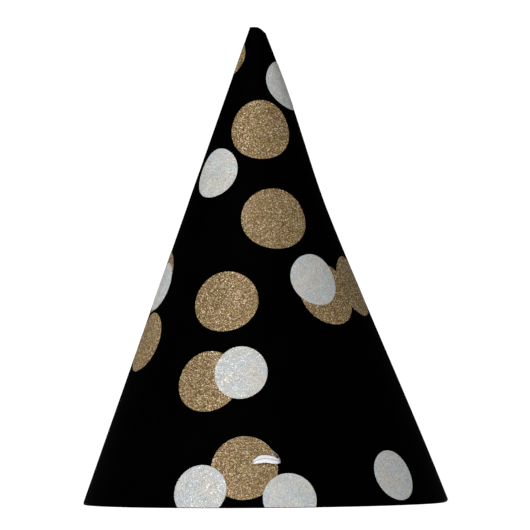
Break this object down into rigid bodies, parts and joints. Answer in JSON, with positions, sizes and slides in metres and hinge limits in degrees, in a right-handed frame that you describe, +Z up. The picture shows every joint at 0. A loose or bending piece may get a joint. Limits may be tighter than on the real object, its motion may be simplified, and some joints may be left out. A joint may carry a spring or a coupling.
{
  "type": "party hat",
  "caption": "Cone-shaped card party hat, black with gold and silver glitter dots, with a flat white chin elastic threaded through slits near its rim.",
  "frame": {"origin": "centre of the rim's circle, on the level plane that the rim stands on", "axes": "+Z up towards the tip; -Y is the front, where the pair of slits seen in the picture is; the seam is on the +X side"},
  "size_m": [0.127, 0.127, 0.165],
  "materials": {
    "printed_card": "satin",
    "bare_card": "matte",
    "gold_glitter_print": "satin",
    "silver_glitter_print": "satin",
    "adhesive_strip": "satin",
    "white_elastic": "matte"
  },
  "bodies": {
    "root": {"cone_card": "printed_card", "seam_tape": "adhesive_strip", "chin_elastic": "white_elastic", "front_stitch": "white_elastic", "front_knot": "white_elastic", "back_stitch": "white_elastic", "back_knot": "white_elastic"}
  },
  "joints": []
}
